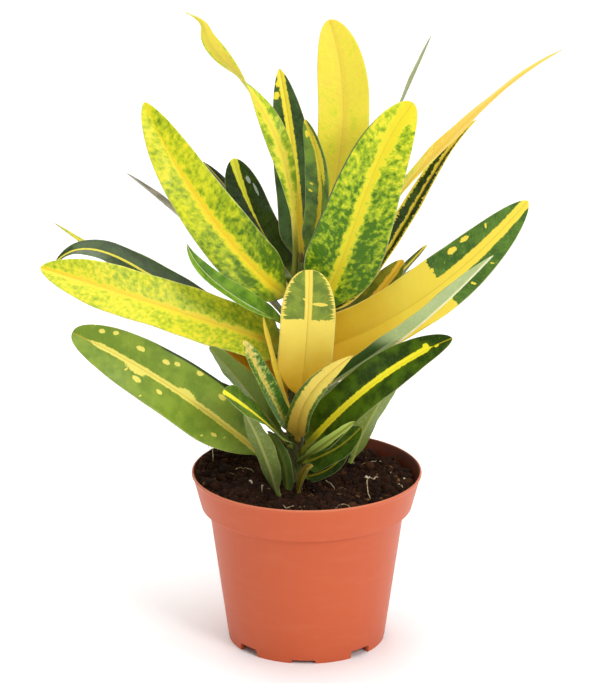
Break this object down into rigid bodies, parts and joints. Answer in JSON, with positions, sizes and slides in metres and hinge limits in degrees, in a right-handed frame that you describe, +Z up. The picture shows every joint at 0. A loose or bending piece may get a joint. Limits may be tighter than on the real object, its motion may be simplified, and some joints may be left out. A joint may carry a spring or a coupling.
{
  "type": "potted croton",
  "caption": "Potted croton: a tapered nursery pot of soil with one upright stem and long strap-shaped variegated leaves spreading all round it.",
  "frame": {"origin": "on the ground under the pot, on the pot's axis", "axes": "+Z up along the pot's axis, -Y the front that the picture shows, +X to the right seen from the front"},
  "size_m": [0.2657, 0.1507, 0.3355],
  "materials": {
    "pot": "satin terracotta-orange moulded plastic",
    "soil": "moist dark brown peat with fibres, rootlets and a few pale bits",
    "stem": "matte green-brown young bark with leaf scars",
    "leaf_yellow": "waxy satin, yellow with green flecks",
    "leaf_lime": "waxy satin, light green mottled with yellow",
    "leaf_green": "waxy satin, mid green with a yellow midrib and spots",
    "leaf_dark": "waxy satin, dark green with a yellow midrib"
  },
  "bodies": {
    "root": {"pot": "pot", "soil": "soil", "stem": "stem", "leaf_crown_young": "leaf_lime", "leaf_crown_dark": "leaf_dark", "leaf_crown_ribbon": "leaf_yellow", "leaf_crown_yellow": "leaf_yellow", "leaf_crown_broad": "leaf_lime", "leaf_upper_dark": "leaf_dark", "leaf_crown_slim": "leaf_green", "leaf_upper_behind": "leaf_dark", "leaf_upper_left": "leaf_yellow", "leaf_upper_ribbon": "leaf_yellow", "leaf_upper_narrow": "leaf_dark", "leaf_upper_edge": "leaf_dark", "leaf_left_folded": "leaf_green", "leaf_right_olive": "leaf_green", "leaf_left_arched": "leaf_dark", "leaf_right_slim": "leaf_dark", "leaf_left_yellow": "leaf_yellow", "leaf_left_behind": "leaf_lime", "leaf_right_behind": "leaf_green", "leaf_right_long": "leaf_yellow", "leaf_right_folded": "leaf_green", "leaf_middle_yellow": "leaf_yellow", "leaf_front": "leaf_yellow", "leaf_low_left_behind": "leaf_dark", "leaf_front_slim": "leaf_yellow", "leaf_front_striped": "leaf_lime", "leaf_front_beige": "leaf_yellow", "leaf_front_turned": "leaf_green", "leaf_low_left": "leaf_green", "leaf_low_curled": "leaf_dark", "leaf_low_right": "leaf_dark", "leaf_low_small": "leaf_lime", "leaf_low_dark": "leaf_dark", "leaf_low_under": "leaf_dark", "leaf_soil_right": "leaf_green", "leaf_soil_young": "leaf_yellow", "leaf_soil_left": "leaf_green", "leaf_soil_narrow": "leaf_green", "leaf_back_1": "leaf_lime", "leaf_back_2": "leaf_yellow", "leaf_back_3": "leaf_green", "leaf_back_4": "leaf_green", "leaf_back_5": "leaf_lime", "leaf_back_6": "leaf_dark", "leaf_back_7": "leaf_yellow", "leaf_back_8": "leaf_green", "leaf_back_9": "leaf_dark", "leaf_back_10": "leaf_green"}
  },
  "joints": []
}
